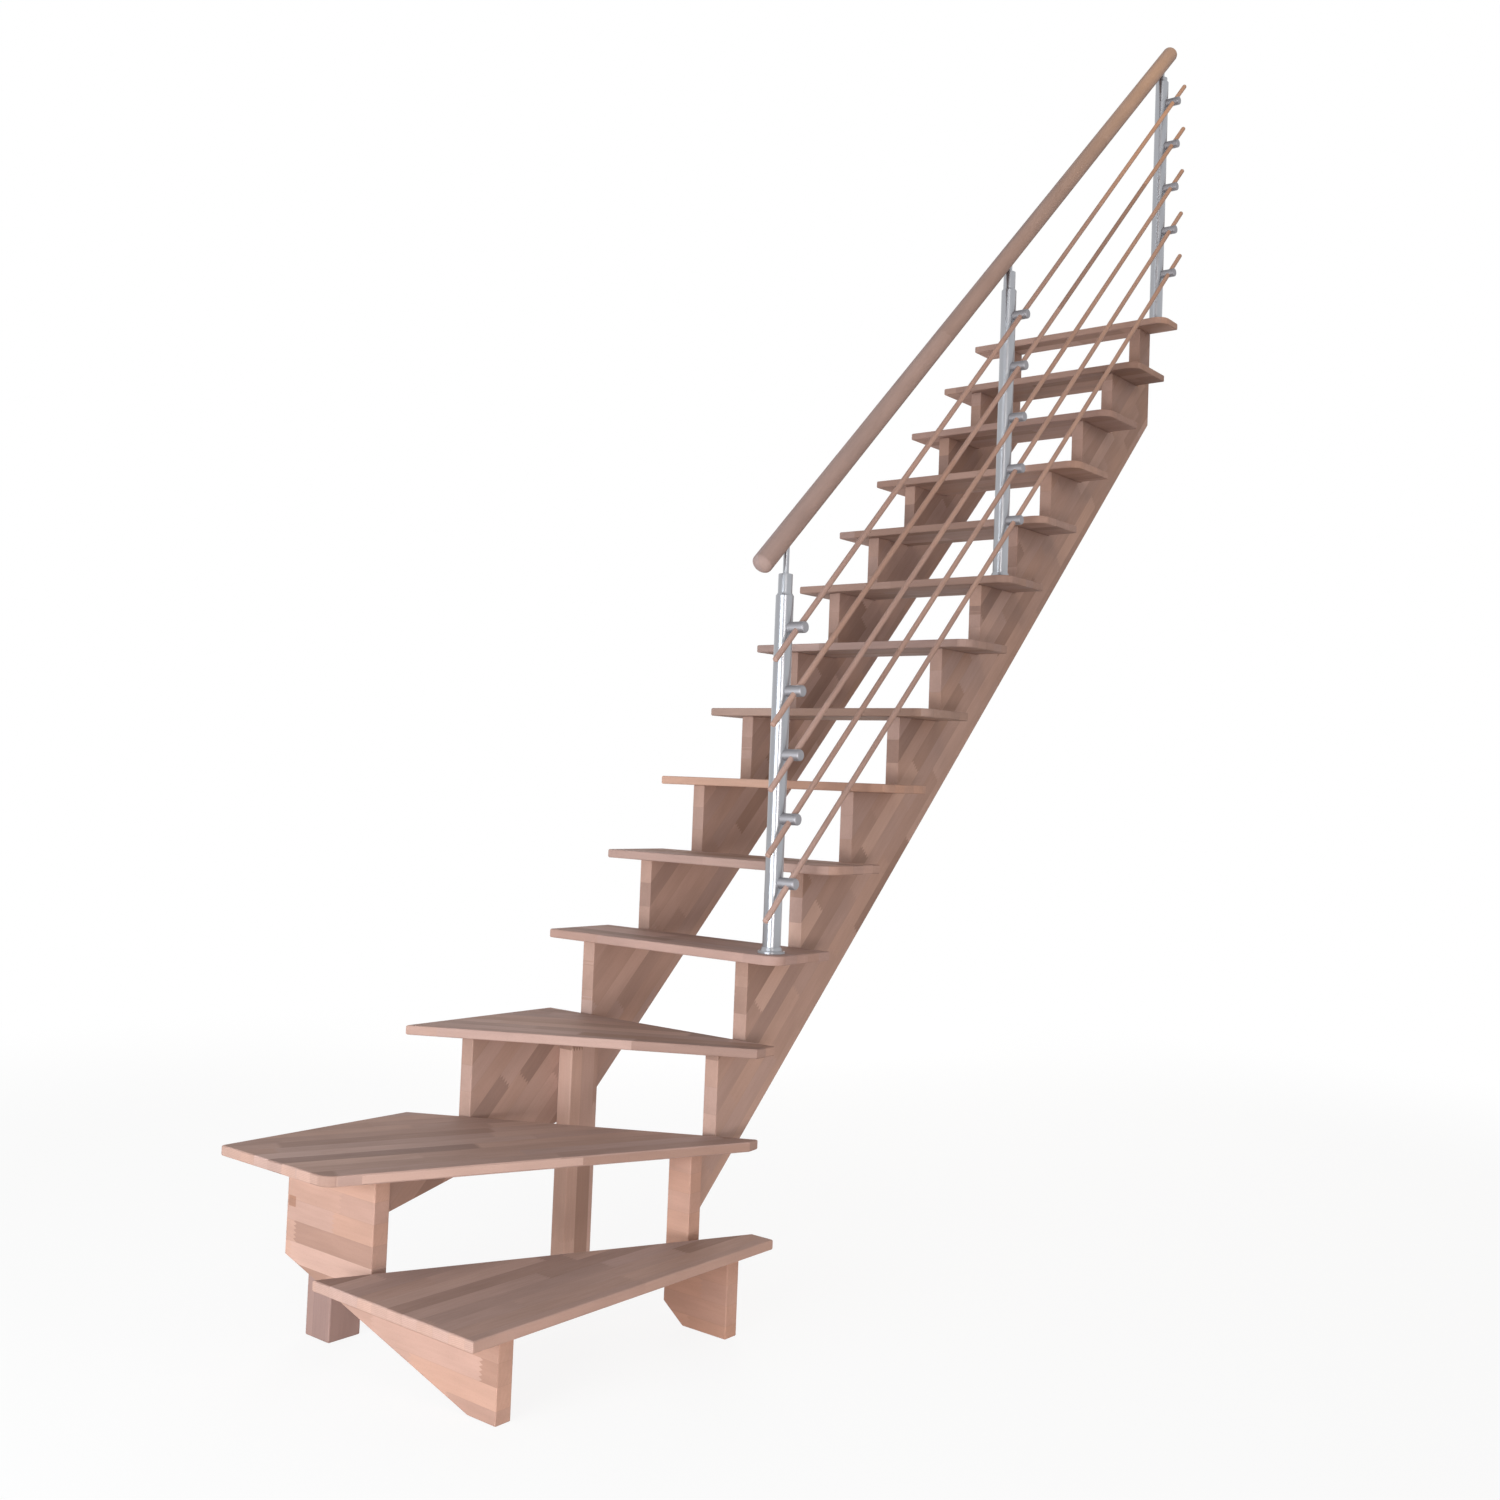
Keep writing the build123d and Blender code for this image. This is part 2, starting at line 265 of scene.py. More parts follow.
def beech_group():
    """Colour, roughness and height of the wood, from the directions of its staves."""
    tree = bpy.data.node_groups.new("edge_glued_beech", "ShaderNodeTree")
    given = group_inputs(tree, (
        ("Along", "NodeSocketVector", (1, 0, 0)),
        ("Across", "NodeSocketVector", (0, 1, 0)),
        ("Stave Width", "NodeSocketFloat", STAVE),
        ("Stave Length", "NodeSocketFloat", TREAD_STAVE_LENGTH),
        ("Start", "NodeSocketVector", (0, 0, 0)),
        ("Seed", "NodeSocketFloat", 1.0),
        ("Contrast", "NodeSocketFloat", 1.0),
        ("Tint", "NodeSocketColor", (1, 1, 1, 1)),
    ))
    for name, kind in (
        ("Colour", "NodeSocketColor"),
        ("Roughness", "NodeSocketFloat"),
        ("Height", "NodeSocketFloat"),
    ):
        tree.interface.new_socket(name, in_out="OUTPUT", socket_type=kind)
    place = tree.nodes.new("ShaderNodeTexCoord").outputs["Object"]
    place = vector_calc(tree, "SUBTRACT", place, given["Start"])
    depth_axis = vector_calc(tree, "CROSS_PRODUCT", given["Along"], given["Across"])
    along = vector_calc(tree, "DOT_PRODUCT", place, given["Along"])
    across = vector_calc(tree, "DOT_PRODUCT", place, given["Across"])
    depth = vector_calc(tree, "DOT_PRODUCT", place, depth_axis)

    # Which stave a point is in, and which length of it
    in_staves = calc(tree, "DIVIDE", across, given["Stave Width"])
    in_staves = calc(tree, "ADD", in_staves, FIRST_GLUE_LINE)
    stave = calc(tree, "FLOOR", in_staves)
    stagger, _ = random_value(tree, stave, given["Seed"], 0.0)
    fingers = calc(tree, "PINGPONG", across, FINGER_PITCH)
    in_lengths = calc(tree, "MULTIPLY_ADD", fingers, FINGER_REACH, along)
    in_lengths = calc(tree, "DIVIDE", in_lengths, given["Stave Length"])
    in_lengths = calc(tree, "MULTIPLY_ADD", stagger, STAGGER, in_lengths)
    length = calc(tree, "FLOOR", in_lengths)
    tone, draws = random_value(tree, stave, length, given["Seed"])
    draw = tree.nodes.new("ShaderNodeSeparateColor")
    feed(tree, draw.inputs[0], draws)
    shifted = calc(tree, "MULTIPLY_ADD", draw.outputs["Red"], GRAIN_SHIFT, along)

    def grain(lengthwise, sideways, detail):
        spread = joined(
            tree,
            calc(tree, "MULTIPLY", shifted, lengthwise),
            calc(tree, "MULTIPLY", across, sideways),
            calc(tree, "MULTIPLY", depth, sideways),
        )
        return noise(tree, spread, detail)

    fibre = grain(*FIBRES, detail=3.0)
    fleck = ramped(tree, grain(*FLECKS, detail=1.0), *FLECK_SPAN)
    cloud = grain(*CLOUDS, detail=2.0)

    # Glue lines between staves
    from_edge = product(tree, calc(tree, "PINGPONG", in_staves, 0.5), given["Stave Width"])
    solid_wood = ramped(tree, from_edge, 0.0, GLUE_LINE)

    # Growth rings where a face looks along the stave
    normal = tree.nodes.new("ShaderNodeNewGeometry").outputs["Normal"]
    facing = calc(tree, "ABSOLUTE", vector_calc(tree, "DOT_PRODUCT", normal, given["Along"]))
    end_grain = ramped(tree, facing, *END_FACING)
    heart_across = calc(tree, "SUBTRACT", calc(tree, "FRACT", in_staves), draw.outputs["Green"])
    heart_across = product(tree, heart_across, given["Stave Width"])
    heart_depth = calc(tree, "MULTIPLY_ADD", draw.outputs["Blue"], HEART_DEPTH, depth)
    from_heart = vector_calc(tree, "LENGTH", joined(tree, heart_across, heart_depth, 0.0))
    rings = calc(tree, "SINE", product(tree, from_heart, 2 * pi / RING_PITCH))
    ring_shade = ramped(tree, product(tree, rings, end_grain), -1.0, 1.0, *RING_SHADE)

    # Tone of each stave, then the marks on it
    tones = tree.nodes.new("ShaderNodeValToRGB")
    stops = tones.color_ramp.elements
    while len(stops) < len(BEECH_TONES):
        stops.new(1.0)
    for stop, (position, colour) in zip(stops, BEECH_TONES):
        stop.position = position
        stop.color = colour
    calm = ramped(tree, end_grain, 0.0, 1.0, 1.0, END_GRAIN_CONTRAST)
    spread = product(tree, calc(tree, "SUBTRACT", tone, 0.5), calm)
    feed(tree, tones.inputs["Fac"], calc(tree, "MULTIPLY_ADD", spread, given["Contrast"], 0.5))
    warmth = blended(tree, draw.outputs["Green"], COOL_STAVE, WARM_STAVE)
    shade = product(
        tree,
        ramped(tree, fibre, *FIBRE_SPAN, *FIBRE_SHADE),
        ramped(tree, cloud, *CLOUD_SPAN, *CLOUD_SHADE),
        ramped(tree, fleck, 0.0, 1.0, 1.0, FLECK_SHADE),
        ramped(tree, solid_wood, 0.0, 1.0, GLUE_SHADE, 1.0),
        # sawn ends lighter: painted light
        ramped(tree, end_grain, 0.0, 1.0, 1.0, END_GRAIN_PAINTED_LIGHT),
        ring_shade,
    )
    colour = blended(tree, 1.0, tones.outputs["Color"], warmth, "MULTIPLY")
    colour = blended(tree, 1.0, colour, given["Tint"], "MULTIPLY")
    colour = blended(tree, 1.0, colour, joined(tree, shade, shade, shade), "MULTIPLY")

    out = tree.nodes.new("NodeGroupOutput")
    feed(tree, out.inputs["Colour"], colour)
    feed(tree, out.inputs["Roughness"], ramped(tree, fibre, *OIL_SPAN, *OIL_ROUGHNESS))
    feed(tree, out.inputs["Height"], calc(tree, "MULTIPLY_ADD", solid_wood, GLUE_RELIEF, fibre))
    return tree


BEECH_GROUP = beech_group()


def beech(name, along, across, seed, **sizes):
    """A wood finish whose staves run along one direction and lie side by side in another."""
    finish = bpy.data.materials.new(name)
    finish.use_nodes = True
    tree = finish.node_tree
    shader = tree.nodes["Principled BSDF"]
    shader.inputs["Specular IOR Level"].default_value = OIL_SPECULAR
    wood = tree.nodes.new("ShaderNodeGroup")
    wood.name = "wood"
    wood.node_tree = BEECH_GROUP
    settings = {"Along": along, "Across": across, "Seed": seed, **sizes}
    for socket, value in settings.items():
        wood.inputs[socket.replace("_", " ")].default_value = value
    bump = tree.nodes.new("ShaderNodeBump")
    bump.inputs["Strength"].default_value = RELIEF_STRENGTH
    bump.inputs["Distance"].default_value = RELIEF
    feed(tree, bump.inputs["Height"], wood.outputs["Height"])
    feed(tree, shader.inputs["Base Color"], wood.outputs["Colour"])
    feed(tree, shader.inputs["Roughness"], wood.outputs["Roughness"])
    feed(tree, shader.inputs["Normal"], bump.outputs["Normal"])
    return finish


# A small darker piece let into the south string, by two corners in X and Z

KEY_LOW = (-0.066, 0.269)
KEY_HIGH = (-0.042, 0.291)
KEY_EDGE = 0.0008
KEY_TONE = (0.76, 0.66, 0.58, 1)


def add_dark_key(finish):
    """Darkens a board's wood between the key's corners."""
    tree = finish.node_tree
    shader = tree.nodes["Principled BSDF"]
    plain = tree.nodes["wood"].outputs["Colour"]
    place = tree.nodes.new("ShaderNodeSeparateXYZ")
    feed(tree, place.inputs[0], tree.nodes.new("ShaderNodeTexCoord").outputs["Object"])
    sides = []
    for axis, low, high in zip("XZ", KEY_LOW, KEY_HIGH):
        sides.append(ramped(tree, place.outputs[axis], low, low + KEY_EDGE))
        sides.append(ramped(tree, place.outputs[axis], high, high + KEY_EDGE, 1.0, 0.0))
    inside = product(tree, *sides)
    dark = blended(tree, 1.0, plain, KEY_TONE, "MULTIPLY")
    feed(tree, shader.inputs["Base Color"], blended(tree, inside, plain, dark))


# Brushed steel

BRUSH_FINE = 420              # brush marks a metre, square to them
BRUSH_LONG = 30               # and along them
BRUSH_DETAIL = (3.0, 0.6)
BRUSH_SHADE = 0.88            # how dark a brush mark is
SMUDGES = (2.0, 0.5, 9.0)     # detail, roughness and scale of slow changes in the gloss
SMUDGE_SPAN = (0.3, 0.7)
SMUDGE_SHADE = (0.8, 1.2)
WORN_SPAN = (0.3, 0.75)


def steel(name, colour, smooth, rough, brushed, axis, stretch):
    """Steel brushed round an axis: reflections spread along it, and fine lines vary the gloss."""
    finish = bpy.data.materials.new(name)
    finish.use_nodes = True
    tree = finish.node_tree
    shader = tree.nodes["Principled BSDF"]
    shader.inputs["Metallic"].default_value = 1.0
    shader.inputs["Anisotropic"].default_value = stretch
    feed(tree, shader.inputs["Tangent"], joined(tree, *axis))
    place = tree.nodes.new("ShaderNodeTexCoord").outputs["Object"]
    lines = noise(tree, vector_calc(tree, "MULTIPLY", place, brushed), *BRUSH_DETAIL)
    smudge = noise(tree, place, *SMUDGES)
    worn = product(tree, lines, ramped(tree, smudge, *SMUDGE_SPAN, *SMUDGE_SHADE))
    dim = tuple(channel * BRUSH_SHADE for channel in colour[:3]) + (1,)
    feed(tree, shader.inputs["Roughness"], ramped(tree, worn, *WORN_SPAN, smooth, rough))
    feed(tree, shader.inputs["Base Color"], blended(tree, lines, dim, colour))
    return finish


# Finishes by piece

def plan_directions(start, end):
    """Directions along and square to a winder's nosing, from the plan of its two ends."""
    run = Vector((end[0] - start[0], end[1] - start[1], 0)).normalized()
    return run, UP.cross(run)


TREAD_CONTRAST = 0.8
TREAD_SEED = 80.0             # a tread's own seed is this and its number
ROD_PITCH = 0.105             # rods' spacing square to the pitch

# Slanted nosings in plan, outer end and inner end
NOSING_2 = (0.212, -0.198), (0.586, 0.648)
NOSING_3 = (-0.138, 0.268), (0.582, 0.666)

# Staves lie along the nosing: east and west but on the winders
NOSING_DIRECTIONS = {
    1: (NORTH, EAST),
    2: plan_directions(*NOSING_2),
    3: plan_directions(*NOSING_3),
}
# Tints of single treads. Those of treads 7 to 13 are painted shade: they darken the upper treads
# for the lesser light up the flight. Those of treads 4 and 6 set the tone of their boards.
TREAD_TINTS_AND_SHADE = {
    4: (0.94, 0.94, 0.97, 1),
    6: (1.07, 1.00, 0.92, 1),
    7: (0.84, 0.86, 0.85, 1),
    8: (0.82, 0.85, 0.88, 1),
    9: (0.83, 0.85, 0.87, 1),
    10: (0.92, 0.94, 0.96, 1),
    12: (0.87, 0.86, 0.87, 1),
    13: (0.87, 0.86, 0.85, 1),
}
PLAIN_TINT = (1, 1, 1, 1)
STRING_CONTRAST = 0.82
STRING_TINT = (1.0, 1.0, 0.99, 1)
# The south string's warm tint is painted light: it stands in for the warm light falling on that
# face.
SOUTH_WARM_LIGHT_TINT = (1.02, 0.965, 0.92, 1)
SOUTH_START = (0.004, 0, -STAVE)      # puts a dark stave across its upper tooth
INNER_LIT_TINT = (1.12, 1.02, 0.94, 1)    # paler and warmer: painted light, standing in for the warm low light on its south face
CORNER_SHADE_TINT = (0.72, 0.71, 0.74, 1)   # darker and greyer: painted shade, standing in for the shade on the post
HANDRAIL_TINT = (0.82, 0.91, 0.99, 1)

# Directions along and across the staves, the seed of their tones, and what a board has of its own
STRING_STAVES = {
    "south_string": (EAST, UP, 204.0, {"Tint": SOUTH_WARM_LIGHT_TINT, "Start": SOUTH_START}),
    "inner_string": (EAST, UP, 43.0, {"Tint": INNER_LIT_TINT, "Contrast": 0.3}),
    "west_lower_string": (UP_THE_PITCH, ACROSS_THE_PITCH, 47.0, {}),
    "west_main_string": (UP_THE_PITCH, ACROSS_THE_PITCH, 53.0, {}),
    "east_main_string": (UP_THE_PITCH, ACROSS_THE_PITCH, 59.0, {}),
}
POST_STAVES = {
    "corner_post": (UP, EAST, 61.0, {"Tint": CORNER_SHADE_TINT, "Contrast": 0.35}),
    "west_post": (UP, NORTH, 67.0, {"Tint": STRING_TINT}),
}

HANDRAIL_WOOD = beech(
    "handrail_wood", UP_THE_PITCH, EAST, 71.0,
    Contrast=0.5, Stave_Width=0.2, Stave_Length=0.62, Tint=HANDRAIL_TINT,
)
ROD_WOOD = beech(
    "rod_wood", UP_THE_PITCH, ACROSS_THE_PITCH, 101.0,
    Contrast=0.6, Stave_Width=ROD_PITCH, Stave_Length=0.8,
)
TUBE_STEEL = steel(
    "tube_steel", colour=(0.45, 0.46, 0.49, 1), smooth=0.36, rough=0.42,
    brushed=(BRUSH_LONG, BRUSH_LONG, BRUSH_FINE), axis=UP, stretch=0.9,
)
CLAMP_STEEL = steel(
    "clamp_steel", colour=(0.35, 0.34, 0.36, 1), smooth=0.58, rough=0.66,
    brushed=(BRUSH_FINE, BRUSH_LONG, BRUSH_LONG), axis=EAST, stretch=0.3,
)


# Pieces

def dress(piece, finish, slot, *replaced):
    """Gives a piece its finish and sets it on the stairs in place of CAD nodes."""
    piece.data.materials.clear()
    piece.data.materials.append(finish)
    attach(piece, "root")
    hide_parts(*replaced)


def new_piece(name, shape):
    """An object from a finished bmesh."""
    mesh = bpy.data.meshes.new(name)
    shape.to_mesh(mesh)
    shape.free()
    piece = bpy.data.objects.new(name, mesh)
    scene.collection.objects.link(piece)
    return piece


def bake(piece):
    """Turns a piece's modifiers into its plain mesh."""
    evaluated = piece.evaluated_get(bpy.context.evaluated_depsgraph_get())
    mesh = bpy.data.meshes.new_from_object(evaluated)
    piece.modifiers.clear()
    piece.data = mesh


def softened(name, arris):
    """A board as the frame has it, with its sharp edges rounded a little."""
    shape = bmesh.new()
    shape.from_mesh(nodes[name].data)
    bmesh.ops.remove_doubles(shape, verts=shape.verts, dist=SAME_POINT)
    bmesh.ops.dissolve_limit(
        shape, angle_limit=FLAT_ANGLE, verts=shape.verts, edges=shape.edges
    )
    bmesh.ops.recalc_face_normals(shape, faces=shape.faces)
    board = new_piece(f"{name}_board", shape)
    edges = board.modifiers.new("arris", "BEVEL")
    edges.width = arris
    edges.segments = ARRIS_STEPS
    edges.limit_method = "ANGLE"
    edges.angle_limit = CORNER_ANGLE
    bake(board)
    return board


def boards():
    """The treads, the strings and the posts under the turn."""
    for number in TREADS:
        name = f"tread_{number:02d}"
        along, across = NOSING_DIRECTIONS.get(number, (EAST, NORTH))
        finish = beech(
            f"tread_wood_{number:02d}", along, across, TREAD_SEED + number,
            Contrast=TREAD_CONTRAST, Tint=TREAD_TINTS_AND_SHADE.get(number, PLAIN_TINT),
        )
        dress(softened(name, BOARD_ARRIS), finish, "beech_tread", name)
    usual = {
        "Contrast": STRING_CONTRAST,
        "Stave_Length": STRING_STAVE_LENGTH,
        "Tint": STRING_TINT,
    }
    for name, (along, across, seed, own) in STRING_STAVES.items():
        finish = beech(f"{name}_wood", along, across, seed, **{**usual, **own})
        if name == "south_string":
            add_dark_key(finish)
        dress(softened(name, BOARD_ARRIS), finish, "beech_string", name)
    for name, (along, across, seed, own) in POST_STAVES.items():
        finish = beech(f"{name}_wood", along, across, seed, **own)
        dress(softened(name, POST_ARRIS), finish, "beech_string", name)


def turned(shape, axis, profile, sides=64):
    """Adds a round solid about an upright axis to a bmesh, from radii and heights."""
    rings = []
    for radius, height in profile:
        ring = []
        for side in range(sides):
            angle = 2 * pi * side / sides
            offset = Vector((radius * cos(angle), radius * sin(angle), height))
            ring.append(shape.verts.new(axis + offset))
        rings.append(ring)
    for lower, upper in zip(rings, rings[1:]):
        for side in range(sides):
            after = (side + 1) % sides
            shape.faces.new((lower[side], lower[after], upper[after], upper[side]))
    shape.faces.new(tuple(reversed(rings[0])))
    shape.faces.new(rings[-1])


def turned_piece(name, solids):
    """Round solids as one piece, smooth but for their sharp rims."""
    shape = bmesh.new()
    for axis, profile in solids:
        turned(shape, axis, profile)
    shape.normal_update()
    for face in shape.faces:
        face.smooth = True
    for edge in shape.edges:
        edge.smooth = edge.calc_face_angle() < RIM_ANGLE
    return new_piece(name, shape)


def small_curve(radius, height, steps):
    """Points of a turned profile, from a corner and the steps out and up from it."""
    return [(radius + out, height + up) for out, up in steps]


def quarter_round(radius, height, edge):
    """A rounded upper corner of a turned profile."""
    middle = -ARC_SHARE * edge
    return small_curve(radius, height, ((0.0, -edge), (middle, middle), (-edge, 0.0)))


def flange_profile():
    """The base plate and its hub round the tube."""
    top = FLANGE_THICKNESS
    return (
        (FLANGE_RADIUS, 0.0),
        *quarter_round(FLANGE_RADIUS, top, FLANGE_EDGE),
        *small_curve(HUB_FOOT, top, HUB_HOLLOW),
        *small_curve(HUB_TOP, top + HUB_HEIGHT, HUB_LIP),
    )


def tube_profile(height):
    """The tube from the hub up, with a broken rim."""
    return (
        (TUBE_RADIUS, FLANGE_THICKNESS + HUB_HEIGHT),
        (TUBE_RADIUS, height - TUBE_RIM),
        (TUBE_RADIUS - TUBE_RIM, height),
    )


def sleeve_profile(low, high):
    """The cone on the tube's rim and the narrower sleeve above it."""
    return (
        *small_curve(TUBE_RADIUS, low, SHOULDER_FOOT),
        *small_curve(SLEEVE_RADIUS, low + SHOULDER, SHOULDER_HEAD),
        *quarter_round(SLEEVE_RADIUS, high, SLEEVE_EDGE),
    )


def top_near(name, axis):
    """Height of a node's top at one of the posts."""
    reach = 2 * TUBE_RADIUS
    spots = (corner.co for corner in nodes[name].data.vertices)
    return max(spot.z for spot in spots if (spot - axis).xy.length < reach)


def post_feet():
    """Centre of each post's flange, on its tread."""
    feet = []
    for number in POSTS:
        low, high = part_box(f"rail_tube_{number}")
        middle = (low + high) / 2
        feet.append(Vector((middle.x, middle.y, low.z - FLANGE_THICKNESS - HUB_HEIGHT)))
    return feet


def posts(feet):
    """The railing's steel posts."""
    flanges = [(foot, flange_profile()) for foot in feet]
    dress(turned_piece("post_flanges", flanges), TUBE_STEEL, "steel_tube", "rail_bases")
    sleeves = []
    pins = []
    for number, foot in zip(POSTS, feet):
        tube_top = top_near(f"rail_tube_{number}", foot) - foot.z
        sleeve_top = top_near("rail_sleeves", foot) - foot.z
        pin_top = top_near("rail_pins", foot) - foot.z
        tube = turned_piece(f"post_tube_{number}", [(foot, tube_profile(tube_top))])
        dress(tube, TUBE_STEEL, "steel_tube", f"rail_tube_{number}")
        sleeves.append((foot, sleeve_profile(tube_top, sleeve_top)))
        pins.append((foot, ((PIN_RADIUS, sleeve_top), (PIN_RADIUS, pin_top))))
    dress(turned_piece("post_sleeves", sleeves), TUBE_STEEL, "steel_tube", "rail_sleeves")
    dress(turned_piece("post_pins", pins), TUBE_STEEL, "steel_tube", "rail_pins")


# Round bars in rows: the rods, their clamps and the handrail

BAR_POINTS = 23               # rings along a bar
BAR_END_POINTS = 10           # of them, steps in each rounded end
TIP_RADIUS = 0.0004           # flat left at the tip of a dome


def bar_rows_tree():
    """Geometry nodes for one bar with rounded ends, set out in rows and columns."""
    tree = bpy.data.node_groups.new("round_bar_rows", "GeometryNodeTree")
    tree.interface.new_socket("Geometry", in_out="OUTPUT", socket_type="NodeSocketGeometry")
    given = group_inputs(tree, (
        ("Start", "NodeSocketVector", (0, 0, 0)),
        ("Direction", "NodeSocketVector", (0, 0, 1)),
        ("Length", "NodeSocketFloat", 1.0),
        ("Diameter", "NodeSocketFloat", 0.02),
        ("End Length", "NodeSocketFloat", 0.003),
        ("End Inset", "NodeSocketFloat", 0.003),
        ("Sides", "NodeSocketInt", 32),
        ("Rows", "NodeSocketInt", 1),
        ("Row Step", "NodeSocketVector", (0, 0, 0)),
        ("Columns", "NodeSocketInt", 1),
        ("Column Step", "NodeSocketVector", (0, 0, 0)),
        ("Finish", "NodeSocketMaterial", None),
    ))

    def step(kind, **inputs):
        made = tree.nodes.new(kind)
        for name, value in inputs.items():
            feed(tree, made.inputs[name.replace("_", " ")], value)
        return made

    def clamped(value):
        return calc(tree, "MINIMUM", calc(tree, "MAXIMUM", value, 0.0), 1.0)

    def quarter_turn(value):
        return product(tree, clamped(calc(tree, "DIVIDE", value, end_share)), pi / 2)

    # Heights and radii of the rings along one bar
    end_share = BAR_END_POINTS / (BAR_POINTS - 1)
    index = step("GeometryNodeInputIndex").outputs[0]
    share = calc(tree, "DIVIDE", index, BAR_POINTS - 1)
    low = quarter_turn(calc(tree, "SUBTRACT", end_share, share))
    high = quarter_turn(calc(tree, "SUBTRACT", share, 1 - end_share))
    middle = calc(tree, "SUBTRACT", share, end_share)
    middle = clamped(calc(tree, "DIVIDE", middle, 1 - 2 * end_share))
    straight = calc(tree, "MULTIPLY_ADD", given["End Length"], -2.0, given["Length"])
    bulge = calc(tree, "SUBTRACT", calc(tree, "SINE", high), calc(tree, "SINE", low))
    bulge = product(tree, calc(tree, "ADD", bulge, 1.0), given["End Length"])
    height = calc(tree, "MULTIPLY_ADD", middle, straight, bulge)
    full = calc(tree, "ADD", calc(tree, "COSINE", low), calc(tree, "COSINE", high))
    inset = product(tree, calc(tree, "SUBTRACT", 2.0, full), given["End Inset"])
    radius = calc(tree, "SUBTRACT", product(tree, given["Diameter"], 0.5), inset)
    line = step("GeometryNodeCurvePrimitiveLine", End=(0, 0, 1))
    fine = step("GeometryNodeResampleCurve", Curve=line.outputs["Curve"], Count=BAR_POINTS)
    placed = step(
        "GeometryNodeSetPosition",
        Geometry=fine.outputs["Curve"], Position=joined(tree, 0.0, 0.0, height),
    )
    sized = step(
        "GeometryNodeSetCurveRadius",
        Curve=placed.outputs["Geometry"], Radius=calc(tree, "MAXIMUM", radius, TIP_RADIUS),
    )
    ring = step("GeometryNodeCurvePrimitiveCircle", Resolution=given["Sides"], Radius=1.0)
    bar = step(
        "GeometryNodeCurveToMesh",
        Curve=sized.outputs["Curve"], Profile_Curve=ring.outputs["Curve"],
        Scale=step("GeometryNodeInputRadius").outputs["Radius"], Fill_Caps=True,
    )
    smooth = step("GeometryNodeSetShadeSmooth", Geometry=bar.outputs["Mesh"])

    # Places of the bars
    rows = step(
        "GeometryNodeMeshLine",
        Count=given["Rows"], Start_Location=given["Start"], Offset=given["Row Step"],
    )
    columns = step("GeometryNodeMeshLine", Count=given["Columns"], Offset=given["Column Step"])
    grid = step(
        "GeometryNodeInstanceOnPoints",
        Points=rows.outputs["Mesh"], Instance=columns.outputs["Mesh"],
    )
    spots = step("GeometryNodeRealizeInstances", Geometry=grid.outputs["Instances"])
    aim = step("FunctionNodeAlignRotationToVector", Vector=given["Direction"])
    aim.axis = "Z"
    bars = step(
        "GeometryNodeInstanceOnPoints",
        Points=spots.outputs["Geometry"], Instance=smooth.outputs["Geometry"],
        Rotation=aim.outputs["Rotation"],
    )
    real = step("GeometryNodeRealizeInstances", Geometry=bars.outputs["Instances"])
    finish = step(
        "GeometryNodeSetMaterial", Geometry=real.outputs["Geometry"], Material=given["Finish"]
    )
    step("NodeGroupOutput", Geometry=finish.outputs["Geometry"])
    return tree


BAR_ROWS = bar_rows_tree()


def bar_rows(name, finish, **sizes):
    """Rows of round bars as one plain mesh."""
    piece = new_piece(name, bmesh.new())
    rows = piece.modifiers.new("rows", "NODES")
    rows.node_group = BAR_ROWS
    sockets = {
        socket.name: socket.identifier
        for socket in BAR_ROWS.interface.items_tree if socket.in_out == "INPUT"
    }
    for size, value in sizes.items():
        rows[sockets[size.replace("_", " ")]] = value
    rows[sockets["Finish"]] = finish
    bake(piece)
    return piece


def railing(feet):
    """The posts, the clamps on them, the rods and the handrail."""
    posts(feet)
    low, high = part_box("rod_clamps_1")
    diameter = high.y - low.y
    rod_step = UP * (high.z - low.z - diameter) / (len(RODS) - 1)
    clamps = bar_rows(
        "rod_clamps", CLAMP_STEEL,
        Start=Vector((feet[0].x + CLAMP_START, feet[0].y, low.z + diameter / 2)),
        Direction=EAST, Length=high.x - feet[0].x - CLAMP_START, Diameter=diameter,
        End_Length=CLAMP_END, End_Inset=CLAMP_END, Sides=40,
        Rows=len(POSTS), Row_Step=feet[1] - feet[0], Columns=len(RODS), Column_Step=rod_step,
    )
    dress(clamps, CLAMP_STEEL, "steel_clamp", *(f"rod_clamps_{number}" for number in POSTS))

    # A rod's end centres lie half its tilted end face inside its box
    low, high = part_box("rail_rod_1")
    diameter = high.x - low.x
    end_face = ACROSS_THE_PITCH * diameter / 2
    half_end = Vector((diameter / 2, abs(end_face.y), abs(end_face.z)))
    start, end = low + half_end, high - half_end
    rods = bar_rows(
        "rods", ROD_WOOD,
        Start=start, Direction=UP_THE_PITCH, Length=(end - start).length, Diameter=diameter,
        End_Length=ROD_END, End_Inset=ROD_END, Sides=28, Rows=len(RODS), Row_Step=rod_step,
    )
    dress(rods, ROD_WOOD, "beech_rail", *(f"rail_rod_{number}" for number in RODS))

    # The handrail's ends are the tips of its domes
    low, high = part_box("handrail")
    diameter = high.x - low.x
    spots = [corner.co for corner in nodes["handrail"].data.vertices]
    up_the_rail = Vector((0, high.y - low.y, high.z - low.z))
    start = min(spots, key=up_the_rail.dot)
    end = max(spots, key=up_the_rail.dot)
    rail = bar_rows(
        "round_handrail", HANDRAIL_WOOD,
        Start=start, Direction=(end - start).normalized(), Length=(end - start).length,
        Diameter=diameter, End_Length=HANDRAIL_DOME, End_Inset=diameter / 2, Sides=56,
    )
    dress(rail, HANDRAIL_WOOD, "beech_rail", "handrail")


boards()
railing(post_feet())


# Stage: pale floor, soft light and a white surround

